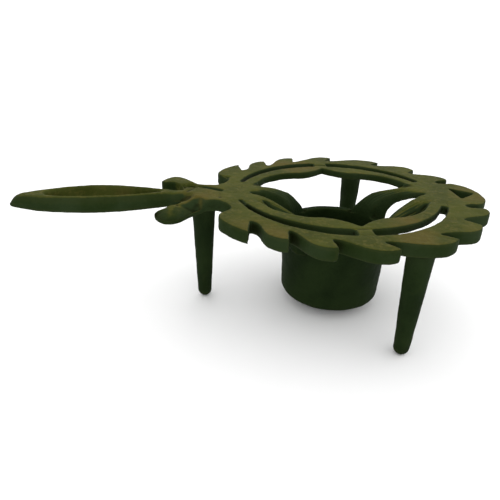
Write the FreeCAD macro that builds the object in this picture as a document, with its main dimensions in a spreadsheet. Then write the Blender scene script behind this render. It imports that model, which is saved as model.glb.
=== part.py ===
"""Cast-iron laurel-wreath trivet with a round candle cup hung under its middle.

The frame: millimetres, +Z up, the origin on the floor under the middle of the whole length. The handle
points along -X, "back" is +Y and "front" is -Y, and all but the two wreath legs mirror about the XZ plane.
Every outline below is drawn about the cup's axis, and each sub-part is then moved along X into the frame.
"""

import FreeCAD, Part
import math
import os

Vector = FreeCAD.Vector
SHEET_NAME = "Dims"

# Driving dimensions, in millimetres and degrees.
DIMENSIONS = {
    "cup_from_middle": 43.8,
    "plate_top": 58.5,
    "plate_thickness": 6.0,
    "band_thickness": 3.6,
    "wreath_offset": 2.5,
    "wreath_inner_radius": 51.5,
    "leaf_root_radius": 57.2,
    "neck_end": 59.5,
    "neck_half_width": 12.0,
    "terminal_end": 72.8,
    "boss_half_angle": 16.0,
    "slot_half_angle": 21.5,
    "bridge_half_width": 3.6,
    "cup_rim_top": 41.0,
    "cup_rim_radius": 27.0,
    "cup_base_radius": 25.6,
    "cup_bore_radius": 23.0,
    "cup_clearance": 3.7,
    "cup_floor": 2.8,
    "cup_corner": 3.5,
    "cup_inner_corner": 3.0,
    "arm_foot_radius": 23.3,
    "arm_bend_end": 44.5,
    "saddle_drop": 5.0,
    "leg_top_radius": 5.8,
    "leg_tip_radius": 3.5,
    "spigot_radius": 3.0,
    "spigot_depth": 3.5,
    "leg_bow_reach": 67.4,
    "leg_front_reach": 22.9,
    "leg_rear_reach": 20.8,
    "leg_wreath_spread": 52.7,
    "lap_height": 3.0,
    "lap_length": 4.5,
    "lap_half_width": 6.5,
    "knot_left": 77.5,
    "knot_half_width": 7.2,
    "tang_half_width": 4.8,
    "tang_end": 86.0,
    "handle_pivot": 80.0,
    "handle_droop": 1.7,
}

# Each laurel leaf of the back half: its root angle, its tip angle and how far it stands out.
LEAVES = (
    (147.0, 122.5, 9.5),
    (126.5, 105.0, 9.0),
    (108.2, 83.6, 8.5),
    (88.0, 57.8, 8.5),
    (60.6, 38.0, 9.0),
    (37.1, 18.6, 10.3),
)
# The outer edge of a leaf: the share of its angle, and of its height, from root to tip.
LEAF_EDGE = ((0.0, 0.0), (0.15, 0.09), (0.35, 0.4), (0.6, 0.86), (0.82, 1.0), (1.0, 0.85))

# The ear beside the neck, from the neck outwards to its tip, and the notch where the first leaf starts.
EAR_EDGE = ((-55.8, 16.5), (-54.6, 21.0), (-56.4, 24.3), (-59.4, 27.6), (-60.0, 32.5), (-57.2, 38.4),
            (-53.2, 43.4), (-48.3, 47.5))
EAR_NOTCH = (-46.8, 36.4)
FIRST_LEAF_START = 2

# The rounded far end: the notch that parts it from the last leaf, then its edge up to the axis.
LAST_NOTCH_CORNER = (59.0, 20.2)
LAST_NOTCH_ROOT = (57.0, 17.6)
TERMINAL_EDGE = ((61.6, 15.4), (65.8, 15.4), (69.0, 12.9), (71.7, 8.2))
TERMINAL_HOLE = ((59.7, 7.8), (68.8, 0.8))

# The inner edge of the leaf band for x > 0, from the boss to the cusp in the middle.
BAND_EDGE = ((38.8, 17.2), (35.0, 23.0), (28.0, 28.6), (20.0, 31.8), (13.2, 32.6), (6.4, 36.2))
BAND_CUSP = (0.0, 41.9)
BAND_CREST = (0.0, 45.2)
BAND_OUTER_ENDS = ((-46.9, 15.6), (45.2, 17.6))

# The plan of one bent cup leaf, for x > 0 and y > 0, from the boss to the cup. Its edges meet in the bore.
ARM_INNER_EDGE = ((38.0, 3.7), (34.0, 6.1), (29.0, 8.5), (21.5, 10.0))
ARM_OUTER_EDGE = ((38.9, 15.4), (34.0, 17.6), (28.5, 19.2), (20.5, 19.9), (11.5, 20.2))
ARM_ROOT_ANGLES = (0.4, 15.4)
ARM_EDGES_MEET = (9.0, 10.5)

# How far a cutting outline runs past the shape it cuts.
OVERRUN = 0.2

# The ribbon bow, back half, from the neck round the ribbon's end to the knot.
BOW_OUTER_EDGE = ((-66.0, 11.4), (-70.2, 13.6), (-74.2, 18.6), (-78.6, 23.8), (-83.0, 25.2), (-87.2, 22.4))
BOW_END = (-89.4, 17.6)
BOW_INNER_EDGE = ((-87.6, 14.3), (-83.4, 14.3), (-79.6, 11.6))

# Half widths of the handle loop and of its slot, along the handle.
HANDLE_EDGE = ((-159.6, 1.8), (-157.0, 3.4), (-152.0, 5.2), (-145.0, 7.6), (-135.0, 9.7), (-122.0, 11.1),
               (-108.0, 9.9), (-95.0, 7.2), (-87.0, 5.4))
HANDLE_END = -160.3
SLOT_EDGE = ((-142.0, 2.1), (-137.5, 4.1), (-130.0, 5.8), (-120.0, 6.4), (-108.0, 5.6), (-97.0, 3.2))
SLOT_ENDS = (-143.4, -88.0)


def make_sheet(doc):
    """The spreadsheet that holds the driving dimensions, one alias a row."""
    sheet = doc.addObject("Spreadsheet::Sheet", SHEET_NAME)
    for row, (alias, value) in enumerate(DIMENSIONS.items(), start=1):
        sheet.set(f"A{row}", alias)
        sheet.set(f"B{row}", str(value))
        sheet.setAlias(f"B{row}", alias)
    doc.recompute()
    return sheet


def dim(alias):
    """The value of one driving dimension, read from the sheet."""
    return float(FreeCAD.ActiveDocument.getObject(SHEET_NAME).get(alias))


def cell(alias):
    """The expression that names one driving dimension."""
    return f"{SHEET_NAME}.{alias}"


def flat(point):
    """A point of a sketch as a vector."""
    return Vector(point[0], point[1], 0)


def line(start, end):
    return Part.LineSegment(flat(start), flat(end))


def arc(start, middle, end):
    return Part.ArcOfCircle(flat(start), flat(middle), flat(end))


def smooth(points):
    """One smooth curve through the points."""
    curve = Part.BSplineCurve()
    curve.interpolate([flat(p) for p in points])
    return curve


def edge(points):
    """A straight line between two points, or one smooth curve through more."""
    return smooth(points) if len(points) > 2 else line(*points)


def rectangle(left, right, half_width):
    """A rectangle about the X axis between two values of x."""
    points = [(left, -half_width), (right, -half_width), (right, half_width), (left, half_width)]
    return [line(a, b) for a, b in zip(points, points[1:] + points[:1])]


def circle(radius, centre=(0, 0)):
    return Part.Circle(flat(centre), Vector(0, 0, 1), radius)


def polar(radius, angle, offset=0.0):
    """A point at this radius and angle (degrees) about the cup's axis, or about a point beside it."""
    turn = math.radians(angle)
    return (offset + radius * math.cos(turn), radius * math.sin(turn))


def mirror_y(points):
    """The same points on the other side of the XZ plane, in the opposite order."""
    return [(x, -y) for x, y in reversed(points)]


def mirror_x(points):
    return [(-x, y) for x, y in points]


def new_body(doc, label):
    body = doc.addObject("PartDesign::Body", label)
    body.Label = label
    return body


def origin_plane(body, role):
    """One of the body's own origin planes, such as XY_Plane."""
    return next(f for f in body.Origin.OriginFeatures if f.Role == role)


def new_sketch(body, name, geometry, height="0", role="XY_Plane"):
    """A sketch on one of the body's origin planes, lifted by the expression in height."""
    sketch = body.newObject("Sketcher::SketchObject", name)
    sketch.AttachmentSupport = [(origin_plane(body, role), "")]
    sketch.MapMode = "FlatFace"
    sketch.setExpression("AttachmentOffset.Base.z", height)
    for curve in geometry:
        sketch.addGeometry(curve, False)
    return sketch


def pad(body, name, geometry, bottom, height):
    """Material from the plan outline, from the expression bottom upwards by height."""
    sketch = new_sketch(body, name + "Sketch", geometry, bottom)
    feature = body.newObject("PartDesign::Pad", name)
    feature.Profile = sketch
    feature.setExpression("Length", height)
    return feature


def pocket(body, name, geometry, top, depth):
    """A cut of the plan outline, from the expression top downwards by depth."""
    sketch = new_sketch(body, name + "Sketch", geometry, top)
    feature = body.newObject("PartDesign::Pocket", name)
    feature.Profile = sketch
    feature.setExpression("Length", depth)
    return feature


def revolve(body, name, geometry):
    """A full turn of a profile in the XZ plane about the body's vertical axis."""
    sketch = new_sketch(body, name + "Sketch", geometry, role="XZ_Plane")
    feature = body.newObject("PartDesign::Revolution", name)
    feature.Profile = sketch
    feature.ReferenceAxis = (sketch, ["V_Axis"])
    feature.Angle = 360
    return feature


PLATE_BOTTOM = f"{cell('plate_top')} - {cell('plate_thickness')}"
BAND_BOTTOM = f"{cell('plate_top')} - {cell('band_thickness')}"
SPIGOT_TOP = f"{PLATE_BOTTOM} + {cell('spigot_depth')}"
LAP_TOP = f"{PLATE_BOTTOM} + {cell('lap_height')}"


def leg_places():
    """Where the three legs stand, by node name."""
    spread = dim("leg_wreath_spread")
    return {
        "leg_bow": (-dim("leg_bow_reach"), 0),
        "leg_front": (dim("leg_front_reach"), -spread),
        "leg_rear": (dim("leg_rear_reach"), spread),
    }


def neck_lap():
    """The plan of the half lap that joins the bow to the wreath."""
    end = -dim("neck_end")
    return rectangle(end, end + dim("lap_length"), dim("lap_half_width"))


def knot_lap():
    """The plan of the half lap that joins the handle to the bow's knot."""
    knot = -dim("knot_left")
    return rectangle(knot, knot + dim("lap_length"), dim("tang_half_width"))


def leaf_points(root, tip, rise):
    """The outer edge of one laurel leaf, from its root to its tip."""
    base = dim("leaf_root_radius")
    offset = dim("wreath_offset")
    return [polar(base + rise * up, root + (tip - root) * along, offset) for along, up in LEAF_EDGE]


def wreath_outline():
    """The outer edge of the wreath: the back half from the neck to the far end, and its mirror image."""
    neck = (-dim("neck_end"), dim("neck_half_width"))
    leaves = [leaf_points(*leaf) for leaf in LEAVES]
    leaves[0] = [EAR_NOTCH, *leaves[0][FIRST_LEAF_START:]]
    runs = [[neck, *EAR_EDGE], [EAR_EDGE[-1], EAR_NOTCH]]
    for leaf, following in zip(leaves, leaves[1:]):
        runs += [leaf, [leaf[-1], following[0]]]
    runs += [leaves[-1], [leaves[-1][-1], LAST_NOTCH_CORNER], [LAST_NOTCH_CORNER, LAST_NOTCH_ROOT]]
    edges = [edge(run) for run in runs] + [edge(mirror_y(run)) for run in runs]
    far_end = [LAST_NOTCH_ROOT, *TERMINAL_EDGE, (dim("terminal_end"), 0)]
    edges.append(smooth(far_end + mirror_y(far_end)[1:]))
    edges.append(line(neck, mirror_y([neck])[0]))
    return edges


def terminal_hole():
    """The three-cornered piercing near the far end, its apex rounded."""
    base, apex = TERMINAL_HOLE
    front_base, front_apex = (base[0], -base[1]), (apex[0], -apex[1])
    return [
        line(front_base, base),
        line(base, apex),
        arc(apex, (apex[0] + 0.8 * apex[1], 0), front_apex),
        line(front_apex, front_base),
    ]


def make_wreath_ring(doc):
    body = new_body(doc, "wreath_ring")
    pad(body, "Leaves", wreath_outline(), PLATE_BOTTOM, cell("plate_thickness"))
    pocket(body, "Opening", [circle(dim("wreath_inner_radius"))], cell("plate_top"), cell("plate_thickness"))
    pocket(body, "Piercing", terminal_hole(), cell("plate_top"), cell("plate_thickness"))
    pocket(body, "NeckLap", neck_lap(), LAP_TOP, cell("lap_height"))
    holes = [circle(dim("spigot_radius"), at) for node, at in leg_places().items() if node != "leg_bow"]
    body.Tip = pocket(body, "LegHoles", holes, SPIGOT_TOP, cell("spigot_depth"))


def make_boss(doc, label, middle):
    """The solid boss, a sector of a ring, where the stems of the bent leaves start."""
    half = dim("boss_half_angle")
    inner = dim("arm_bend_end")
    outer = dim("wreath_inner_radius")
    angles = (middle - half, middle, middle + half)
    edges = [
        arc(*[polar(inner, a) for a in angles]),
        line(polar(inner, angles[-1]), polar(outer, angles[-1])),
        arc(*[polar(outer, a) for a in reversed(angles)]),
        line(polar(outer, angles[0]), polar(inner, angles[0])),
    ]
    body = new_body(doc, label)
    body.Tip = pad(body, "Boss", edges, PLATE_BOTTOM, cell("plate_thickness"))


def band_outline():
    """The back band: its two scalloped leaves, its bridge to the wreath and its ends on the bosses."""
    outer = dim("wreath_inner_radius")
    inner = dim("arm_bend_end")
    boss, slot, bridge = dim("boss_half_angle"), dim("slot_half_angle"), dim("bridge_half_width")
    left_slot = 180 - math.degrees(math.atan2(BAND_OUTER_ENDS[0][1], -BAND_OUTER_ENDS[0][0]))
    left_root, right_root = polar(inner, 180 - boss), polar(inner, boss)
    left_end, right_end = BAND_OUTER_ENDS
    crest_arc = arc(left_end, BAND_CREST, right_end)
    centre = crest_arc.Center
    bridge_foot = centre.y + math.sqrt(crest_arc.Radius**2 - (bridge - centre.x) ** 2)
    bridge_foot_left = centre.y + math.sqrt(crest_arc.Radius**2 - (bridge + centre.x) ** 2)
    bridge_head = math.sqrt(outer**2 - bridge**2)

    def crest_point(angle):
        return (centre.x + crest_arc.Radius * math.cos(angle), centre.y + crest_arc.Radius * math.sin(angle))

    def crest_piece(start, end):
        """The stretch of the crest arc between two of its points."""
        angles = [math.atan2(p[1] - centre.y, p[0] - centre.x) for p in (start, end)]
        return arc(start, crest_point(sum(angles) / 2), end)

    return [
        smooth([right_root, *BAND_EDGE, BAND_CUSP]),
        smooth([BAND_CUSP, *mirror_x(reversed(BAND_EDGE)), left_root]),
        line(left_root, polar(outer, 180 - boss)),
        arc(polar(outer, 180 - boss), polar(outer, (180 - boss + left_slot) / 2), polar(outer, left_slot)),
        line(polar(outer, left_slot), left_end),
        crest_piece(left_end, (-bridge, bridge_foot_left)),
        line((-bridge, bridge_foot_left), (-bridge, bridge_head)),
        arc((-bridge, bridge_head), (0, outer), (bridge, bridge_head)),
        line((bridge, bridge_head), (bridge, bridge_foot)),
        crest_piece((bridge, bridge_foot), right_end),
        line(right_end, polar(outer, slot)),
        arc(polar(outer, slot), polar(outer, (slot + boss) / 2), polar(outer, boss)),
        line(polar(outer, boss), right_root),
    ]


def mirrored_curves(curves):
    """The same sketch curves on the other side of the XZ plane."""
    result = []
    for curve in curves:
        copy = curve.copy()
        copy.mirror(Vector(0, 0, 0), Vector(1, 0, 0))
        result.append(copy)
    return result


def make_band(doc, label, front):
    outline = band_outline()
    if front:
        outline = mirrored_curves(outline)
    body = new_body(doc, label)
    body.Tip = pad(body, "Band", outline, BAND_BOTTOM, cell("band_thickness"))


def cup_wall_radius(height):
    """Outer radius of the cup's tapered wall at this height."""
    low = dim("cup_clearance") + dim("cup_corner")
    share = (height - low) / (dim("cup_rim_top") - low)
    return dim("cup_base_radius") + share * (dim("cup_rim_radius") - dim("cup_base_radius"))


def corner(centre, radius):
    """A quarter circle from straight below the centre round to its right."""
    low, side = (centre[0], centre[1] - radius), (centre[0] + radius, centre[1])
    turn = math.radians(-45)
    middle = (centre[0] + radius * math.cos(turn), centre[1] + radius * math.sin(turn))
    return arc(low, middle, side)


def make_candle_cup(doc):
    """The round cup: a tapered wall outside, a true cylinder inside."""
    bottom, top = dim("cup_clearance"), dim("cup_rim_top")
    floor = bottom + dim("cup_floor")
    base, bore = dim("cup_base_radius"), dim("cup_bore_radius")
    big, small = dim("cup_corner"), dim("cup_inner_corner")
    profile = [
        line((0, bottom), (base - big, bottom)),
        corner((base - big, bottom + big), big),
        line((base, bottom + big), (dim("cup_rim_radius"), top)),
        line((dim("cup_rim_radius"), top), (bore, top)),
        line((bore, top), (bore, floor + small)),
        corner((bore - small, floor + small), small),
        line((bore - small, floor), (0, floor)),
        line((0, floor), (0, bottom)),
    ]
    body = new_body(doc, "candle_cup")
    body.Tip = revolve(body, "Cup", profile)


def bend_arc(centre, reach, height):
    """A quarter of an upright ellipse, from straight above its centre down to its left."""
    start, end = (centre[0], centre[1] + height), (centre[0] - reach, centre[1])
    slope = math.cos(math.radians(45))
    if reach == height:
        return arc(start, (centre[0] - reach * slope, centre[1] + height * slope), end)
    ellipse = Part.Ellipse(flat(centre), reach, height)
    return Part.ArcOfEllipse(ellipse, math.radians(90), math.radians(180))


def make_arm_shell(doc):
    """The bell-shaped shell the bent leaves are cut from: level at the bosses, standing on the cup's rim."""
    rim, top = dim("cup_rim_top"), dim("plate_top")
    rim_radius, foot = dim("cup_rim_radius"), dim("arm_foot_radius")
    bend_end, thick = dim("arm_bend_end"), dim("band_thickness")
    saddle = rim - dim("saddle_drop")
    saddle_radius = cup_wall_radius(saddle)
    under = bend_end - rim_radius - thick
    profile = doc.addObject("Sketcher::SketchObject", "ArmProfile")
    profile.Placement = FreeCAD.Placement(Vector(), FreeCAD.Rotation(Vector(1, 0, 0), 90))
    for curve in (
        bend_arc((bend_end, rim), bend_end - foot, top - rim),
        line((foot, rim), (rim_radius, rim)),
        line((rim_radius, rim), (saddle_radius, saddle)),
        line((saddle_radius, saddle), (saddle_radius + thick, saddle)),
        line((saddle_radius + thick, saddle), (rim_radius + thick, rim)),
        bend_arc((bend_end, rim), under, top - thick - rim),
        line((bend_end, top - thick), (bend_end, top)),
    ):
        profile.addGeometry(curve, False)
    shell = doc.addObject("Part::Revolution", "ArmShell")
    shell.Source = profile
    shell.Axis = Vector(0, 0, 1)
    shell.Angle = 360
    shell.Solid = True
    return shell


def make_cup_arm(doc, label, shell, side, face):
    """One bent leaf: the part of the shell over its plan. side is the sign of x, face the sign of y."""
    root = dim("arm_bend_end") + OVERRUN
    inner_root, outer_root = [polar(root, angle) for angle in ARM_ROOT_ANGLES]
    middle_root = polar(root, sum(ARM_ROOT_ANGLES) / 2)
    runs = [
        [outer_root, *ARM_OUTER_EDGE],
        [ARM_OUTER_EDGE[-1], ARM_EDGES_MEET],
        [ARM_EDGES_MEET, ARM_INNER_EDGE[-1]],
        [*reversed(ARM_INNER_EDGE), inner_root],
        [inner_root, middle_root, outer_root],
    ]
    outline = doc.addObject("Sketcher::SketchObject", label + "_plan")
    for run in runs:
        outline.addGeometry(edge([(side * x, face * y) for x, y in run]), False)
    prism = doc.addObject("Part::Extrusion", label + "_prism")
    prism.Base = outline
    prism.DirMode = "Custom"
    prism.Dir = Vector(0, 0, 1)
    prism.Solid = True
    prism.setExpression("LengthFwd", f"{cell('plate_top')} + 1")
    arm = doc.addObject("Part::Common", label)
    arm.Label = label
    arm.Base = shell
    arm.Tool = prism
    return arm


def bow_outline():
    """The ribbon bow with its knot: the back half from the neck to the knot, and its mirror image."""
    neck = (-dim("neck_end"), dim("neck_half_width"))
    knot = (-dim("knot_left"), dim("knot_half_width"))
    back = [
        [neck, *BOW_OUTER_EDGE, BOW_END],
        [BOW_END, *BOW_INNER_EDGE, knot],
    ]
    edges = [edge(run) for run in back] + [edge(mirror_y(run)) for run in back]
    edges.append(line(knot, mirror_y([knot])[0]))
    edges.append(line(neck, mirror_y([neck])[0]))
    return edges


def make_bow(doc):
    body = new_body(doc, "bow")
    pad(body, "Ribbon", bow_outline(), PLATE_BOTTOM, cell("plate_thickness"))
    pad(body, "NeckTongue", neck_lap(), PLATE_BOTTOM, cell("lap_height"))
    pocket(body, "TangSocket", knot_lap(), LAP_TOP, cell("lap_height"))
    hole = [circle(dim("spigot_radius"), leg_places()["leg_bow"])]
    body.Tip = pocket(body, "LegHole", hole, SPIGOT_TOP, cell("spigot_depth"))


def handle_outline():
    """The outer edge of the loop, from inside the tang round its far end and back."""
    root = (-dim("handle_pivot"), dim("tang_half_width") - 2 * OVERRUN)
    back = [*HANDLE_EDGE, root]
    return [
        smooth(mirror_y(back) + [(HANDLE_END, 0)] + back),
        line(root, mirror_y([root])[0]),
    ]


def slot_outline():
    far, near = SLOT_ENDS
    return [
        smooth([(far, 0), *SLOT_EDGE, (near, 0)]),
        smooth([(near, 0), *mirror_y(SLOT_EDGE), (far, 0)]),
    ]


def make_handle_loop(doc):
    """The open loop, tilted slightly down, with a level tang that runs into the knot."""
    body = new_body(doc, "handle_loop")
    tang = rectangle(-dim("tang_end"), -dim("knot_left"), dim("tang_half_width"))
    pad(body, "Tang", tang, PLATE_BOTTOM, cell("plate_thickness"))
    pad(body, "TangTongue", knot_lap(), PLATE_BOTTOM, cell("lap_height"))
    loop = new_sketch(body, "LoopSketch", [], PLATE_BOTTOM)
    slot = new_sketch(body, "SlotSketch", [], cell("plate_top"))
    pivot = -dim("handle_pivot")
    tilt = FreeCAD.Rotation(Vector(0, -1, 0), dim("handle_droop"))
    for sketch, curves in ((loop, handle_outline()), (slot, slot_outline())):
        for curve in curves:
            curve.translate(Vector(-pivot, 0, 0))
            sketch.addGeometry(curve, False)
        height = sketch.AttachmentOffset.Base.z
        sketch.AttachmentOffset = FreeCAD.Placement(Vector(pivot, 0, height), tilt)
    solid = body.newObject("PartDesign::Pad", "Loop")
    solid.Profile = loop
    solid.setExpression("Length", cell("plate_thickness"))
    cut = body.newObject("PartDesign::Pocket", "Slot")
    cut.Profile = slot
    cut.Midplane = True
    cut.setExpression("Length", f"4 * {cell('plate_thickness')}")
    body.Tip = cut


def make_leg(doc, label):
    """A tapered round leg with a rounded foot and a spigot that sits in the plate above it."""
    top = dim("plate_top") - dim("plate_thickness")
    tip, wide, pin = dim("leg_tip_radius"), dim("leg_top_radius"), dim("spigot_radius")
    head = top + dim("spigot_depth")
    profile = [
        corner((0, tip), tip),
        line((tip, tip), (wide, top)),
        line((wide, top), (pin, top)),
        line((pin, top), (pin, head)),
        line((pin, head), (0, head)),
        line((0, head), (0, 0)),
    ]
    body = new_body(doc, label)
    body.Tip = revolve(body, "Leg", profile)


def move_into_frame(node):
    """Move a sub-part from the cup's axis, or from its own axis if it is a leg, into the frame."""
    x, y = leg_places().get(node.Label, (0, 0))
    node.setExpression("Placement.Base.x", f"{cell('cup_from_middle')} + {x}")
    node.setExpression("Placement.Base.y", f"{y}")


def build(doc):
    """Make every sub-part and return the objects whose shapes are written out."""
    make_sheet(doc)
    make_wreath_ring(doc)
    make_boss(doc, "junction_left", 180)
    make_boss(doc, "junction_right", 0)
    make_band(doc, "leaf_band_back", front=False)
    make_band(doc, "leaf_band_front", front=True)
    make_candle_cup(doc)
    shell = make_arm_shell(doc)
    arms = [
        make_cup_arm(doc, f"cup_arm_{side}_{face}", shell, x_sign, y_sign)
        for side, x_sign in (("left", -1), ("right", 1))
        for face, y_sign in (("back", 1), ("front", -1))
    ]
    make_bow(doc)
    make_handle_loop(doc)
    for label in leg_places():
        make_leg(doc, label)
    nodes = [o for o in doc.Objects if o.TypeId == "PartDesign::Body"] + arms
    for node in nodes:
        move_into_frame(node)
    doc.recompute()
    return nodes


def check(doc, nodes):
    """Stop before writing if a feature failed, a pocket cut nothing or a sub-part isn't one valid solid."""
    for item in doc.Objects:
        if "Invalid" in item.State or "Error" in item.State:
            raise RuntimeError(f"{item.Label} failed: {item.State}")
        if item.TypeId == "PartDesign::Pocket" and item.Shape.Volume > item.BaseFeature.Shape.Volume - 1:
            raise RuntimeError(f"{item.Label} cut nothing")
    for node in nodes:
        shape = node.Shape
        if shape.isNull() or not shape.isValid() or len(shape.Solids) != 1:
            raise RuntimeError(f"{node.Label} is not one valid solid")
        print(f"{node.Label}: {shape.Volume:.0f} mm3")


def main():
    doc = FreeCAD.newDocument("WreathTrivet")
    nodes = build(doc)
    check(doc, nodes)
    os.makedirs("parts", exist_ok=True)
    for node in nodes:
        node.Shape.exportStep(f"parts/{node.Label}.step")


main()
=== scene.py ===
"""Looks of the laurel-wreath trivet: one soft-edged casting, split into the frame's nodes, in a pale studio.

Lengths are in millimetres where they describe the casting's form, and are measured from the cup's axis. Those
given times MM, and all that Blender gets, are in metres.
"""

import math

import bpy
import numpy as np
from mathutils import Matrix, Vector, noise
from mathutils.bvhtree import BVHTree
from mathutils.kdtree import KDTree

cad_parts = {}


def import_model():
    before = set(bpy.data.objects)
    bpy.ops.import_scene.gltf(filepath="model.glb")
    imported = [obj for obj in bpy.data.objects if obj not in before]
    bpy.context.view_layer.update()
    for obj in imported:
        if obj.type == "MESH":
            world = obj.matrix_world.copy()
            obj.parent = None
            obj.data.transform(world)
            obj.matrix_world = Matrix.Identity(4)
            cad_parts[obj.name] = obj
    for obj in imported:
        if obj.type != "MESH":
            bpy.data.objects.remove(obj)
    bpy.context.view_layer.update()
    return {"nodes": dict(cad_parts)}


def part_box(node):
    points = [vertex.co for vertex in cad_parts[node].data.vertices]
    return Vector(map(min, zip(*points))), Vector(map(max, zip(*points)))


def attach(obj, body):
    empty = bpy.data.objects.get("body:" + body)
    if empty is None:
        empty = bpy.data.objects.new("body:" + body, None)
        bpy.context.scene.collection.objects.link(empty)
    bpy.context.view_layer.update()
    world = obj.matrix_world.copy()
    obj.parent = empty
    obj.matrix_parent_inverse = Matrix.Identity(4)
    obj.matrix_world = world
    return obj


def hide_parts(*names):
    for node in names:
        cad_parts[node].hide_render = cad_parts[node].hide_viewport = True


MM = 0.001

# The casting's skin: the size of its quads, how many times its corners are rounded, and the paint on it.
VOXEL = 0.5 * MM
SOFTENING_PASSES = 2
PAINT_THICKNESS = 0.12 * MM
# The nodes that are rounded further: how many times, and how far their points move each time.
ROUNDED_PASSES = 22
ROUNDED_NODES = {
    "cup_arm_left_back": 0.5,
    "cup_arm_left_front": 0.5,
    "cup_arm_right_back": 0.5,
    "cup_arm_right_front": 0.5,
    "bow": 0.14,
}
# How many times a value that changes from node to node is evened out over the seams: crowns, and the rest.
BLEND_PASSES = 40
SEAM_PASSES = 6

# A point is on a wall if its normal rises less than the first of these, and on a level face if it rises more
# than the second.
WALL_RISE = 0.4
LEVEL_RISE = 0.7
# Creases set in where the normal's rise passes the first, and have their full depth over the second.
CREASED_RISE = (0.3, 0.8)

# How a node's faces fall away towards its edges: width of the slope, drop of the upper and of the lower face,
# and how far the slope is straight rather than round.
FLAT_CROWN = (1.0, 0.15, 0.2, 0.0)
CROWNS = {
    "leaf_band_back": (1.2, 0.25, 0.0, 0.0),
    "leaf_band_front": (1.2, 0.25, 0.0, 0.0),
    "bow": (7.4, 5.6, 0.2, 1.0),
    "far_lobe": (3.0, 1.0, 0.3, 0.0),
    "handle_loop": (3.2, 3.4, 0.8, 0.1),
}
SLANT_POWER = 1.2
# How near a round slope comes to a full quarter of a circle, from 0 to 1.
ROUND_EDGE = 0.96
LEVEL_NODES = ("wreath_ring", "junction_left", "junction_right", "leaf_band_back", "leaf_band_front", "bow",
               "handle_loop")
# The handle and the bow's lobes fall outwards only: their walls that face this line keep their height,
# apart from a narrow round edge along the handle's slot.
INNER_LINE = (-140.0, -88.0)
SLOT_CROWN_WIDTH = 1.9
SLOT_CROWN_DROP = 1.4
# Where the bow's lobes start. The neck between them and the wreath is as flat as the wreath.
LOBES_START = -68.0

# Creases on the upper face: their line in the plan, their half width and their depth.
CREASES = (
    (((-79.9, 7.2), (-76.9, 9.2), (-73.6, 10.2)), 2.4, 1.7),
    (((-73.4, 10.2), (-72.2, 9.4)), 1.5, 1.0),
    (((-71.6, 7.1), (-73.3, 3.5), (-76.3, -0.9)), 1.2, 0.4),
    (((-70.2, 8.7), (-64.5, 5.9), (-58.9, 2.6)), 0.9, 2.0),
    (((-80.4, -4.5), (-79.6, -9.0), (-79.4, -13.0)), 0.9, 0.8),
    (((-72.5, -12.9), (-69.4, -12.9)), 0.6, 0.3),
    (((-59.3, -2.5), (-59.3, -8.5)), 1.2, 0.16),
    (((-57.8, 24.6), (-55.4, 23.4)), 1.3, 1.4),
    (((-48.0, -15.8), (-49.8, -11.4)), 0.6, 1.6),
    (((-4.5, 47.8), (4.5, 46.9)), 0.6, 0.9),
    (((-4.2, -45.1), (4.2, -45.1)), 0.5, 0.35),
    (((-38.2, -10.5), (-35.8, -13.2), (-33.4, -16.2)), 0.7, 1.6),
    (((39.5, -13.5), (33.0, -18.0), (27.0, -21.8)), 1.0, 1.8),
)

# The line along the top of a bent leaf, for x > 0 and y > 0, from the cup outwards. The outer flank falls
# from it with the square of the distance, up to a reach, and sets in over a length where the bend starts.
ARM_CREST = ((23.0, 15.0), (30.0, 12.0), (37.0, 9.0), (44.5, 6.0))
ARM_FLANK = 0.14
ARM_FLANK_REACH = 5.0
ARM_BEND_START = 44.5
ARM_BEND_LENGTH = 8.0
# The lengthwise stripes of a bent leaf: from crest to crest, and half their depth.
ARM_STRIPE_WIDTH = 1.5
ARM_STRIPE_DEPTH = 0.24

# The bow's near lobe droops by this much and loses this share of its height. Both set in between these places
# along the handle and across it.
BOW_DROOP = 1.2
BOW_THINNING = 0.1
DROOP_ALONG = (-69.0, -64.0)
DROOP_ACROSS = (8.0, 13.0)
# The handle's upper face swells between these ends, and its lower face sags at these places by these amounts.
SWELL = 1.8
SWELL_POWER = 0.7
SWELL_ENDS = (-162.0, -83.0)
SAG = ((-160.0, -0.6), (-146.0, 0.3), (-128.0, 0.6), (-105.0, 1.2), (-88.0, 1.1), (-75.0, 0.0))
# The handle's nose loses up to this share of its height, from its start to its end.
NOSE_THINNING = 0.55
NOSE_START = -153.0
NOSE_END = -160.3

# How far the paint is rubbed off the walls of the handle's slot, and off the inner walls of the lobes up to
# near their tips, from 0 to 1.
WALL_RUB = 0.7
LOBE_TIP = -82.0

# Painted shade falls on walls that face another wall across less than this.
GAP_REACH = 7.0 * MM
GAP_SHADE_PASSES = 16

# The casting's unevenness: waves a metre and height.
UNEVENNESS = ((180.0, 0.16 * MM), (520.0, 0.07 * MM))

# The paint's colours. A pair is the two ends of a cloudy colour.
LOW_GREEN = ((0.0068, 0.0138, 0.0035), (0.0112, 0.0208, 0.0055))
SIDE_GREEN = ((0.0112, 0.0212, 0.0040), (0.0178, 0.0295, 0.0098))
OLIVE = ((0.0335, 0.0400, 0.0038), (0.0510, 0.0568, 0.0076))
TAN = (0.067, 0.055, 0.010)
GRAIN = (0.082, 0.072, 0.015)
WORN_EDGE = (0.050, 0.052, 0.015)
# Painted shade in the hollows and narrow gaps.
GAP_SHADE = (0.0062, 0.0082, 0.0014)
SPECK = (0.0085, 0.0100, 0.0035)

# The noises behind the paint and its relief: waves a metre, detail and roughness.
CLOUD_NOISE = (55.0, 4.0, 0.55)
TAN_NOISE = (28.0, 3.0, 0.55)
GRAIN_NOISE = (420.0, 3.0, 0.7)
SPECK_NOISE = (900.0, 3.0, 0.55)
SKIN_NOISE = (220.0, 4.0, 0.55)
PIT_NOISE = (900.0, 4.0, 0.7)

# Between which values a signal goes from 0 to 1: how far a face looks up, how high it stands, and two noises.
UPWARD = (0.76, 0.97)
RAISED = (42 * MM, 56 * MM)
CLOUDS = (0.35, 0.65)
TAN_PATCHES = (0.48, 0.66)
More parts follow.
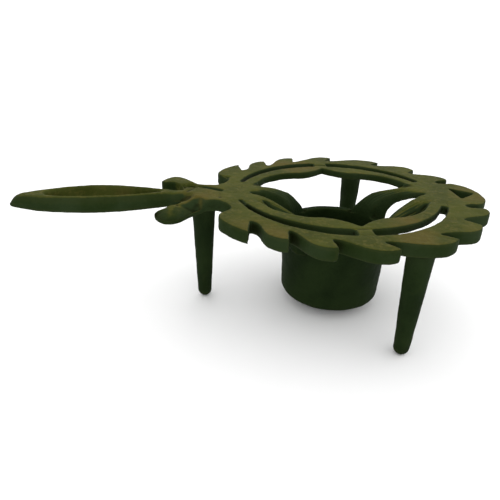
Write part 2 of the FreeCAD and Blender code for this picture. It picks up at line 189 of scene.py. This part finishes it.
# The same for the layers over the paint, each with its greatest strength.
GRAIN_LAYER = (0.50, 0.64, 0.55)
EDGE_LAYER = (0.60, 0.90, 0.12)
# The hollow and gap layers lay painted shade.
HOLLOW_LAYER = (0.47, 0.30, 0.65)
GAP_LAYER = (0.02, 0.60, 0.70)
SPECK_LAYER = (0.62, 0.74, 0.35)

# How matt the paint is, how much it shines, and its relief: height and strength.
ROUGHNESS = (0.55, 0.75)
SHINE = 0.03
SKIN_RELIEF = (0.35 * MM, 0.6)
PIT_RELIEF = (0.15 * MM, 0.8)

# The camera, from the cup's axis on the floor: place in millimetres, angles in degrees, lens in millimetres.
CAMERA_PLACE = (-60.7, -221.8, 136.8)
CAMERA_TURN = 4.41
CAMERA_PITCH = 26.37
CAMERA_ROLL = 1.87
CAMERA_LENS = 34.144

# The studio: a cloudy pale floor, a sky that turns from dim overhead to pale lower down, and one soft light.
FLOOR_HALF_SIZE = 4.0
FLOOR_NOISE = (2.0, 4.0, 0.55)
FLOOR_TONES = ((0.89, 0.89, 0.89), (0.91, 0.91, 0.91))
SKY_TONES = ((0.22, 0.22, 0.22), (0.95, 0.95, 0.95))
SKY_TURN = (0.80, 0.50)
SKY_STRENGTH = 1.3
LIGHT_PLACE = (0.12, 0.28, 1.0)
LIGHT_POWER = 2.5
LIGHT_SPREAD = 115


# ---------------------------------------------------------------- the casting


def mesh_arrays(mesh):
    """A mesh's points and triangles as arrays."""
    points = np.empty(len(mesh.vertices) * 3)
    mesh.vertices.foreach_get("co", points)
    mesh.calc_loop_triangles()
    triangles = np.empty(len(mesh.loop_triangles) * 3, int)
    mesh.loop_triangles.foreach_get("vertices", triangles)
    return points.reshape(-1, 3), triangles.reshape(-1, 3)


def join_nodes(nodes):
    """All the nodes' points and triangles together, with the node each triangle came from."""
    points, triangles, owners = [], [], []
    count = 0
    for name, node in nodes.items():
        node_points, node_triangles = mesh_arrays(node.data)
        points.append(node_points)
        triangles.append(node_triangles + count)
        owners += [name] * len(node_triangles)
        count += len(node_points)
    return np.concatenate(points), np.concatenate(triangles), owners


def make_object(name, points, faces):
    """A mesh object in the scene."""
    mesh = bpy.data.meshes.new(name)
    mesh.from_pydata(points.tolist(), [], [list(f) for f in faces])
    mesh.validate()
    obj = bpy.data.objects.new(name, mesh)
    bpy.context.scene.collection.objects.link(obj)
    return obj


def voxel_skin(points, triangles):
    """One closed skin of even quads around everything: its points, its quads and its edges."""
    obj = make_object("casting_core", points, triangles)
    remesh = obj.modifiers.new("Skin", "REMESH")
    remesh.mode = "VOXEL"
    remesh.voxel_size = VOXEL
    evaluated = obj.evaluated_get(bpy.context.evaluated_depsgraph_get())
    mesh = bpy.data.meshes.new_from_object(evaluated)
    bpy.data.objects.remove(obj)
    skin_points = np.empty(len(mesh.vertices) * 3)
    mesh.vertices.foreach_get("co", skin_points)
    quads = np.empty(len(mesh.loops), int)
    mesh.loops.foreach_get("vertex_index", quads)
    edges = np.empty(len(mesh.edges) * 2, int)
    mesh.edges.foreach_get("vertices", edges)
    bpy.data.meshes.remove(mesh)
    return skin_points.reshape(-1, 3), quads.reshape(-1, 4), edges.reshape(-1, 2)


def neighbour_mean(values, edges):
    """The mean of each point's neighbours along the edges."""
    ends = np.concatenate((edges[:, 0], edges[:, 1]))
    others = np.concatenate((edges[:, 1], edges[:, 0]))
    count = np.bincount(ends, minlength=len(values))
    sums = [np.bincount(ends, values[others, k], len(values)) for k in range(values.shape[1])]
    return np.stack(sums, 1) / np.maximum(count, 1)[:, None]


def soften(points, edges, passes, share=0.5):
    """Round the corners by moving points towards their neighbours' mean, each by its share of the way."""
    for _ in range(passes):
        points = points + share * (neighbour_mean(points, edges) - points)
    return points


def point_normals(points, quads):
    """The mean direction of the faces around each point."""
    across = points[quads[:, 2]] - points[quads[:, 0]]
    along = points[quads[:, 3]] - points[quads[:, 1]]
    face_normals = np.cross(across, along)
    normals = np.zeros_like(points)
    for corner in range(4):
        for k in range(3):
            normals[:, k] += np.bincount(quads[:, corner], face_normals[:, k], len(points))
    return normals / np.maximum(np.linalg.norm(normals, axis=1), 1e-12)[:, None]


def nearest_nodes(places, points, triangles, owners):
    """The name of the CAD node nearest to each place."""
    tree = BVHTree.FromPolygons(points.tolist(), triangles.tolist())
    return np.array([owners[tree.find_nearest(place)[2]] for place in places.tolist()])


def segment_distance(x, y, start, end):
    """Distance in the plan from points to a straight segment."""
    dx, dy = end[0] - start[0], end[1] - start[1]
    along = np.clip(((x - start[0]) * dx + (y - start[1]) * dy) / (dx * dx + dy * dy), 0, 1)
    return np.hypot(x - start[0] - along * dx, y - start[1] - along * dy)


def carve_creases(points, normals, axis):
    """Sink the upper face along each crease."""
    x = (points[:, 0] - axis.x) / MM
    y = (points[:, 1] - axis.y) / MM
    upper = np.interp(normals[:, 2], CREASED_RISE, (0, 1))
    for line, half_width, depth in CREASES:
        distance = np.min([segment_distance(x, y, a, b) for a, b in zip(line, line[1:])], axis=0)
        points[:, 2] -= MM * depth * upper * np.exp(-((distance / half_width) ** 2))
    return points


def plan_tree(points):
    """A search tree over the points' places in the plan."""
    tree = KDTree(len(points))
    for index, (x, y, _) in enumerate(points.tolist()):
        tree.insert((x, y, 0), index)
    tree.balance()
    return tree


def nearest_in_plan(places, points):
    """The distance in the plan from each place to the nearest of the points, and that point's height."""
    tree = plan_tree(points)
    found = [tree.find((x, y, 0)) for x, y, _ in places.tolist()]
    heights = points[[index for _, index, _ in found], 2]
    return np.array([distance for _, _, distance in found]), heights


def faces_inwards(points, normals, axis):
    """Whether each wall point faces the handle's middle line rather than out from it."""
    x = (points[:, 0] - axis.x) / MM
    to_line_x = (np.clip(x, *INNER_LINE) - x) * MM
    to_line_y = axis.y - points[:, 1]
    return (normals[:, 0] * to_line_x + normals[:, 1] * to_line_y > 0) & (x <= LOBES_START)


def point_crowns(points, node_of_point, edges, axis):
    """Each point's crown: its node's own, but the bow's neck is like the wreath, and its far lobe flatter."""
    neck = (node_of_point == "bow") & (points[:, 0] - axis.x > LOBES_START * MM)
    far_lobe = (node_of_point == "bow") & (points[:, 1] > axis.y) & ~neck
    names = np.where(neck, "wreath_ring", np.where(far_lobe, "far_lobe", node_of_point))
    crowns = np.array([CROWNS.get(name, FLAT_CROWN) for name in names])
    for _ in range(BLEND_PASSES):
        crowns = neighbour_mean(crowns, edges)
    return crowns


def edge_fall(places, walls, width, slant):
    """How far the face has fallen at each place: 0 away from the walls, and most right at them."""
    inset, _ = nearest_in_plan(places, walls)
    nearness = 1 - np.clip(inset / (width * MM), 0, 1)
    round_fall = 1 - np.sqrt(1 - ROUND_EDGE * nearness**2)
    return (1 - slant) * round_fall + slant * nearness**SLANT_POWER


def crown_faces(points, normals, node_of_point, edges, axis):
    """Let the level faces fall away towards their edges, as a worn sand casting does."""
    level = np.isin(node_of_point, LEVEL_NODES)
    width, upper_drop, lower_drop, slant = point_crowns(points, node_of_point, edges, axis)[level].T
    own, slope, owner = points[level], normals[level, 2], node_of_point[level]
    wall = np.abs(slope) < WALL_RISE
    inward = faces_inwards(own, normals[level], axis)
    outer_wall = wall & ~(inward & np.isin(owner, ["bow", "handle_loop"]))
    slot_wall = wall & inward & (owner == "handle_loop")
    fall = edge_fall(own, own[outer_wall], width, slant)
    slot_fall = edge_fall(own, own[slot_wall], SLOT_CROWN_WIDTH, 0)
    _, top = nearest_in_plan(own, own[slope > LEVEL_RISE])
    _, bottom = nearest_in_plan(own, own[slope < -LEVEL_RISE])
    side = np.clip((2 * own[:, 2] - top - bottom) / np.maximum(top - bottom, MM), -1, 1)
    drop = np.where(side > 0, fall * upper_drop + slot_fall * SLOT_CROWN_DROP, fall * lower_drop)
    points[level, 2] -= MM * side * drop
    return points


def bend_arms(points, node_of_point, axis):
    """Let the outer flanks of the bent leaves fall away from their crests, and stripe them lengthwise."""
    arm = np.char.startswith(node_of_point, "cup_arm")
    x = np.abs(points[arm, 0] - axis.x) / MM
    y = np.abs(points[arm, 1] - axis.y) / MM
    beyond = y - np.interp(x, *np.transpose(ARM_CREST))
    bent = np.clip((ARM_BEND_START - np.hypot(x, y)) / ARM_BEND_LENGTH, 0, 1)
    flank = ARM_FLANK * np.clip(beyond, 0, ARM_FLANK_REACH) ** 2
    stripes = ARM_STRIPE_DEPTH * np.sin(beyond * 2 * math.pi / ARM_STRIPE_WIDTH)
    points[arm, 2] -= MM * bent * (flank + stripes)
    return points


def droop_bow(points, node_of_point, axis):
    """Droop the bow's near lobe and thin it."""
    bow = node_of_point == "bow"
    along = (points[bow, 0] - axis.x) / MM
    across = (axis.y - points[bow, 1]) / MM
    near_lobe = np.interp(along, DROOP_ALONG, (1, 0)) * np.interp(across, DROOP_ACROSS, (0, 1))
    height = points[bow, 2] - points[bow, 2].min()
    points[bow, 2] -= near_lobe * (MM * BOW_DROOP + BOW_THINNING * height)
    return points


def swell_handle(points, node_of_point, axis):
    """Swell the handle's upper face, let its lower face sag and thin its nose."""
    handle = node_of_point == "handle_loop"
    x = (points[handle, 0] - axis.x) / MM
    height = points[handle, 2] - points[handle, 2].min()
    share = height / height.max()
    middle = np.interp(x, SWELL_ENDS, (0, 1))
    swell = SWELL * np.sin(math.pi * middle) ** SWELL_POWER
    sag = np.interp(x, *np.transpose(SAG))
    nose = np.interp(x, (NOSE_END, NOSE_START), (1, 0))
    points[handle, 2] += MM * (swell * share - sag * (1 - share)) - height * NOSE_THINNING * nose**2
    return points


def roughen(points, normals):
    """The uneven surface that a sand mould leaves."""
    for waves, height in UNEVENNESS:
        bumps = np.array([noise.noise(place * waves) for place in map(Vector, points.tolist())])
        points = points + height * bumps[:, None] * normals
    return points


def make_casting(nodes, axis):
    """The whole casting's skin: its points, quads and edges, and the node that each point belongs to."""
    points, triangles, owners = join_nodes(nodes)
    skin, quads, edges = voxel_skin(points, triangles)
    skin = soften(skin, edges, SOFTENING_PASSES)
    node_of_point = nearest_nodes(skin, points, triangles, owners)
    skin = crown_faces(skin, point_normals(skin, quads), node_of_point, edges, axis)
    rounding = np.array([[ROUNDED_NODES.get(name, 0)] for name in node_of_point])
    skin = soften(skin, edges, ROUNDED_PASSES, soften(rounding, edges, SEAM_PASSES))
    skin = bend_arms(skin, node_of_point, axis)
    skin = droop_bow(skin, node_of_point, axis)
    skin = swell_handle(skin, node_of_point, axis)
    skin = carve_creases(skin, point_normals(skin, quads), axis)
    skin = soften(skin, edges, 1)
    normals = point_normals(skin, quads)
    skin = roughen(skin + PAINT_THICKNESS * normals, normals)
    return skin, quads, edges, node_of_point


def surface_values(skin, quads, edges, node_of_point, normals, axis):
    """What the paint has to know at each point, by label: how far it stands out, for worn edges and painted
    shade in creases, and how far it is rubbed and shut in, the last for painted shade in narrow gaps.
    """
    handle = node_of_point == "handle_loop"
    lobe = (node_of_point == "bow") & (skin[:, 0] - axis.x > LOBE_TIP * MM)
    rubbed = (handle | lobe) & faces_inwards(skin, normals, axis)
    shut_in = narrow_gaps(skin, quads, normals)
    return {
        "wear_and_shade": wear_and_shade_of_points(skin, normals, edges),
        "rub": soften(WALL_RUB * rubbed[:, None], edges, SEAM_PASSES)[:, 0],
        "gap": soften(shut_in[:, None], edges, GAP_SHADE_PASSES)[:, 0],
    }


def split_casting(skin, quads, edges, node_of_point, axis, material):
    """One piece for each CAD node. They keep the whole casting's normals, so that no seam shows."""
    normals = point_normals(skin, quads)
    values = surface_values(skin, quads, edges, node_of_point, normals, axis)
    node_of_face = node_of_point[quads[:, 0]]
    for name in sorted(set(node_of_face)):
        faces = quads[node_of_face == name]
        used, local = np.unique(faces, return_inverse=True)
        piece = make_object("cast_" + name, skin[used], local.reshape(-1, 4))
        piece.data.shade_smooth()
        piece.data.normals_split_custom_set_from_vertices(normals[used].tolist())
        for label, value in values.items():
            attribute = piece.data.attributes.new(label, "FLOAT", "POINT")
            attribute.data.foreach_set("value", value[used].astype(np.float32))
        piece.data.materials.append(material)
        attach(piece, "root")
        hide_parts(name)


def wear_and_shade_of_points(skin, normals, edges):
    """How far each point stands out: over 0.5 on edges and crests, under 0.5 in creases."""
    around = neighbour_mean(skin, edges)
    for _ in range(SEAM_PASSES):
        around = neighbour_mean(around, edges)
    height = np.sum((skin - around) * normals, axis=1) / VOXEL
    return np.clip(0.5 + height, 0, 1)


def narrow_gaps(skin, quads, normals):
    """How near the casting itself stands in front of each point: 0 at GAP_REACH or more, 1 at a touch."""
    tree = BVHTree.FromPolygons(skin.tolist(), quads.tolist())
    nearness = np.zeros(len(skin))
    starts = skin + VOXEL * normals
    for index, (start, normal) in enumerate(zip(starts.tolist(), normals.tolist())):
        distance = tree.ray_cast(start, normal, GAP_REACH)[3]
        if distance is not None:
            nearness[index] = 1 - distance / GAP_REACH
    return nearness


# ---------------------------------------------------------------- materials


class Graph:
    """The shader nodes of a material or a world, with a method for each thing they do here."""

    def __init__(self, owner):
        owner.use_nodes = True
        self.nodes = owner.node_tree.nodes
        self.link = owner.node_tree.links.new

    def feed(self, socket, value):
        """Give a socket a number or a colour, or link it to another node's output."""
        if isinstance(value, float):
            socket.default_value = value
        elif isinstance(value, tuple):
            socket.default_value = (*value, 1)
        else:
            self.link(value, socket)

    def noise(self, waves, detail, roughness):
        """Solid noise in the object's own coordinates."""
        coordinates = self.nodes.new("ShaderNodeTexCoord")
        texture = self.nodes.new("ShaderNodeTexNoise")
        texture.inputs["Scale"].default_value = waves
        texture.inputs["Detail"].default_value = detail
        texture.inputs["Roughness"].default_value = roughness
        self.link(coordinates.outputs["Object"], texture.inputs["Vector"])
        return texture.outputs["Fac"]

    def surface_value(self, label):
        """The value that the skin carries under this label."""
        node = self.nodes.new("ShaderNodeAttribute")
        node.attribute_name = label
        return node.outputs["Fac"]

    def upright_part(self, vector):
        """The Z of a vector."""
        node = self.nodes.new("ShaderNodeSeparateXYZ")
        self.link(vector, node.inputs[0])
        return node.outputs["Z"]

    def ramp(self, source, low, high):
        """0 at low, 1 at high, and a smooth step between."""
        step = self.nodes.new("ShaderNodeMapRange")
        step.interpolation_type = "SMOOTHSTEP"
        step.inputs["From Min"].default_value = low
        step.inputs["From Max"].default_value = high
        self.link(source, step.inputs["Value"])
        return step.outputs["Result"]

    def combine(self, operation, first, second):
        """The product or the larger of two values."""
        node = self.nodes.new("ShaderNodeMath")
        node.operation = operation
        self.feed(node.inputs[0], first)
        self.feed(node.inputs[1], second)
        return node.outputs[0]

    def layer(self, source, low, high, strength):
        """A ramp that goes up to a strength."""
        return self.combine("MULTIPLY", self.ramp(source, low, high), strength)

    def blend(self, factor, first, second):
        """A mix of two colours."""
        mix = self.nodes.new("ShaderNodeMix")
        mix.data_type = "RGBA"
        self.link(factor, mix.inputs["Factor"])
        self.feed(mix.inputs[6], first)
        self.feed(mix.inputs[7], second)
        return mix.outputs[2]

    def bump(self, height, distance, strength):
        """A relief node. Its own Normal input is left free for a relief below it."""
        node = self.nodes.new("ShaderNodeBump")
        node.inputs["Distance"].default_value = distance
        node.inputs["Strength"].default_value = strength
        self.link(height, node.inputs["Height"])
        return node


def paint_colour(graph, clouds):
    """Cloudy dark green, darker low down, rubbed to olive with tan patches and grains on the upper faces. The
    olive upper faces are partly real wear and partly painted top light against painted shade on the walls.
    """
    geometry = graph.nodes.new("ShaderNodeNewGeometry")
    upward = graph.ramp(graph.upright_part(geometry.outputs["Normal"]), *UPWARD)
    raised = graph.ramp(graph.upright_part(geometry.outputs["Position"]), *RAISED)
    cloudy = graph.ramp(clouds, *CLOUDS)
    green = graph.blend(raised, graph.blend(cloudy, *LOW_GREEN), graph.blend(cloudy, *SIDE_GREEN))
    tanned = graph.blend(graph.ramp(graph.noise(*TAN_NOISE), *TAN_PATCHES), graph.blend(cloudy, *OLIVE), TAN)
    rubbed = graph.blend(graph.layer(graph.noise(*GRAIN_NOISE), *GRAIN_LAYER), tanned, GRAIN)
    # Where the upper faces turn olive: real rubbing, and painted top light against painted shade on the
    # walls.
    rubbed_and_lit_share = graph.combine("MAXIMUM", graph.combine("MULTIPLY", upward, raised), graph.surface_value("rub"))
    return graph.blend(rubbed_and_lit_share, green, rubbed)


def worn_and_shaded_colour(graph, paint):
    """The paint with worn edges, painted shade in the hollows and narrow gaps, and dark specks over all."""
    # This value lightens worn edges and lays painted shade in the creases.
    wear_and_shade = graph.surface_value("wear_and_shade")
    worn = graph.blend(graph.layer(wear_and_shade, *EDGE_LAYER), paint, WORN_EDGE)
    # Hollows and narrow gaps get painted shade.
    hollow = graph.layer(wear_and_shade, *HOLLOW_LAYER)
    tight = graph.layer(graph.surface_value("gap"), *GAP_LAYER)
    shaded = graph.blend(graph.combine("MAXIMUM", hollow, tight), worn, GAP_SHADE)
    return graph.blend(graph.layer(graph.noise(*SPECK_NOISE), *SPECK_LAYER), shaded, SPECK)


def sand_cast_relief(graph):
    """Fine pits over the coarser skin that the sand leaves."""
    skin = graph.bump(graph.noise(*SKIN_NOISE), *SKIN_RELIEF)
    pits = graph.bump(graph.noise(*PIT_NOISE), *PIT_RELIEF)
    graph.link(skin.outputs["Normal"], pits.inputs["Normal"])
    return pits.outputs["Normal"]


def painted_iron():
    """Old green paint over sand-cast iron."""
    material = bpy.data.materials.new("green_painted_iron")
    graph = Graph(material)
    shader = graph.nodes["Principled BSDF"]
    clouds = graph.noise(*CLOUD_NOISE)
    graph.link(worn_and_shaded_colour(graph, paint_colour(graph, clouds)), shader.inputs["Base Color"])
    matt = graph.nodes.new("ShaderNodeMapRange")
    matt.inputs["To Min"].default_value, matt.inputs["To Max"].default_value = ROUGHNESS
    graph.link(clouds, matt.inputs["Value"])
    graph.link(matt.outputs["Result"], shader.inputs["Roughness"])
    shader.inputs["Specular IOR Level"].default_value = SHINE
    graph.link(sand_cast_relief(graph), shader.inputs["Normal"])
    return material


def floor_material():
    """Matt pale paper with hardly any clouds."""
    material = bpy.data.materials.new("pale_floor")
    graph = Graph(material)
    shader = graph.nodes["Principled BSDF"]
    graph.link(graph.blend(graph.noise(*FLOOR_NOISE), *FLOOR_TONES), shader.inputs["Base Color"])
    shader.inputs["Roughness"].default_value = 0.9
    shader.inputs["Specular IOR Level"].default_value = 0.1
    return material


# ---------------------------------------------------------------- studio


def make_floor():
    """A large square floor."""
    size = FLOOR_HALF_SIZE
    corners = np.array([(-size, -size, 0), (size, -size, 0), (size, size, 0), (-size, size, 0)])
    floor = make_object("floor", corners, [(0, 1, 2, 3)])
    floor.data.materials.append(floor_material())


def make_world():
    """A dim studio that is pale along the horizon, like its floor."""
    world = bpy.data.worlds.new("studio")
    graph = Graph(world)
    direction = graph.nodes.new("ShaderNodeTexCoord")
    tone = graph.ramp(graph.upright_part(direction.outputs["Generated"]), *SKY_TURN)
    background = graph.nodes["Background"]
    graph.link(graph.blend(tone, *SKY_TONES), background.inputs["Color"])
    background.inputs["Strength"].default_value = SKY_STRENGTH
    bpy.context.scene.world = world


def make_light():
    """One large soft light, nearly overhead."""
    light = bpy.data.lights.new("softbox", "SUN")
    light.energy = LIGHT_POWER
    light.angle = math.radians(LIGHT_SPREAD)
    softbox = bpy.data.objects.new("softbox", light)
    softbox.rotation_euler = Vector(LIGHT_PLACE).to_track_quat("Z", "Y").to_euler()
    bpy.context.scene.collection.objects.link(softbox)


def make_camera(axis):
    """The camera, placed from the cup's axis."""
    turn, pitch, roll = (math.radians(a) for a in (CAMERA_TURN, CAMERA_PITCH, CAMERA_ROLL))
    forward = Vector((math.sin(turn) * math.cos(pitch), math.cos(turn) * math.cos(pitch), -math.sin(pitch)))
    right = Vector((math.cos(turn), -math.sin(turn), 0))
    up = right.cross(forward)
    tilted_right = right * math.cos(roll) + up * math.sin(roll)
    tilted_up = up * math.cos(roll) - right * math.sin(roll)
    data = bpy.data.cameras.new("camera")
    data.lens = CAMERA_LENS
    data.sensor_width = 36.0
    data.clip_start = 0.01
    camera = bpy.data.objects.new("camera", data)
    place = Vector((axis.x, axis.y, 0)) + Vector(CAMERA_PLACE) * MM
    rotation = Matrix((tilted_right, tilted_up, -forward)).transposed()
    camera.matrix_world = Matrix.Translation(place) @ rotation.to_4x4()
    bpy.context.scene.collection.objects.link(camera)
    bpy.context.scene.camera = camera


def main():
    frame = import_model()
    low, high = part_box("candle_cup")
    axis = (low + high) / 2
    make_camera(axis)
    casting = make_casting(frame["nodes"], axis)
    split_casting(*casting, axis, painted_iron())
    make_floor()
    make_world()
    make_light()
    bpy.context.scene.view_settings.view_transform = "Standard"


main()
